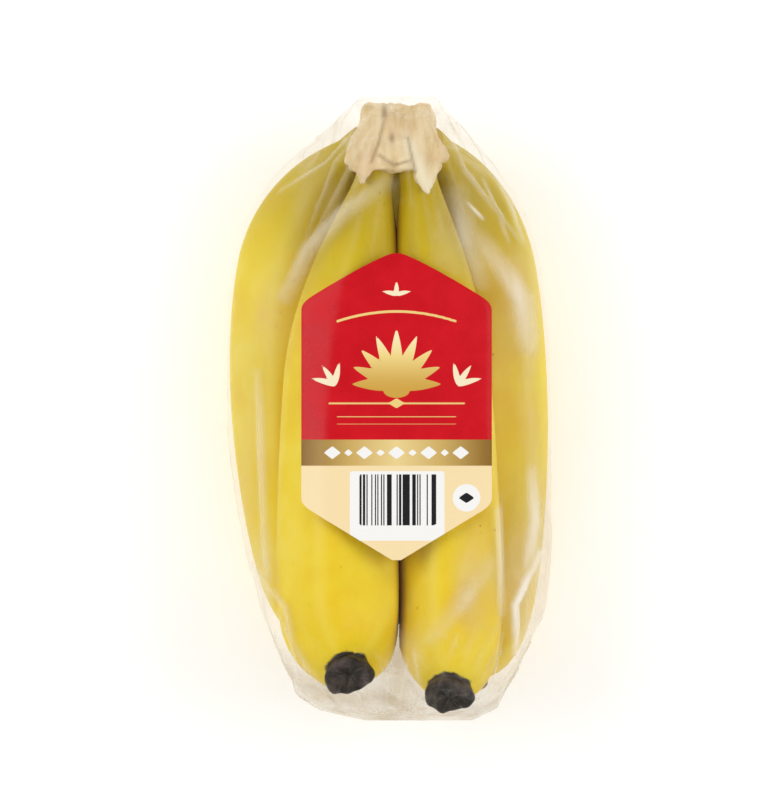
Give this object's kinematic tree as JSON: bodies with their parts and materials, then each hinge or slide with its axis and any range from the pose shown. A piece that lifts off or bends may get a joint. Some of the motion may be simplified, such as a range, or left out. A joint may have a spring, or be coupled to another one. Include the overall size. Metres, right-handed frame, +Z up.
{
  "type": "bagged hand of bananas",
  "caption": "Hand of ripe bananas joined at a trimmed crown, in a clear film bag with a shield-shaped printed label on its front.",
  "frame": {"origin": "under the middle of the whole, on the surface that it lies on", "axes": "+Y from the blossom ends towards the crown, +Z up out of the surface and out of the label, +X to the right when facing the label with the crown at the top"},
  "size_m": [0.119, 0.2182, 0.0911],
  "materials": {
    "peel": "ripe banana peel: warm yellow with a green tinge at the necks, low waxy sheen, black dried blossom ends",
    "crown_tissue": "dried cut crown: pale beige plant fibre, rough and matt",
    "film": "clear polypropylene film, slightly hazy, glossy along its folds",
    "label_paper": "coated adhesive label: satin red, a gold foil band and a cream foot"
  },
  "bodies": {
    "root": {"crown": "crown_tissue", "finger_front_left": "peel", "finger_front_right": "peel", "finger_back_left": "peel", "finger_back_middle": "peel", "finger_back_right": "peel", "film_bag": "film", "label": "label_paper"}
  },
  "joints": []
}
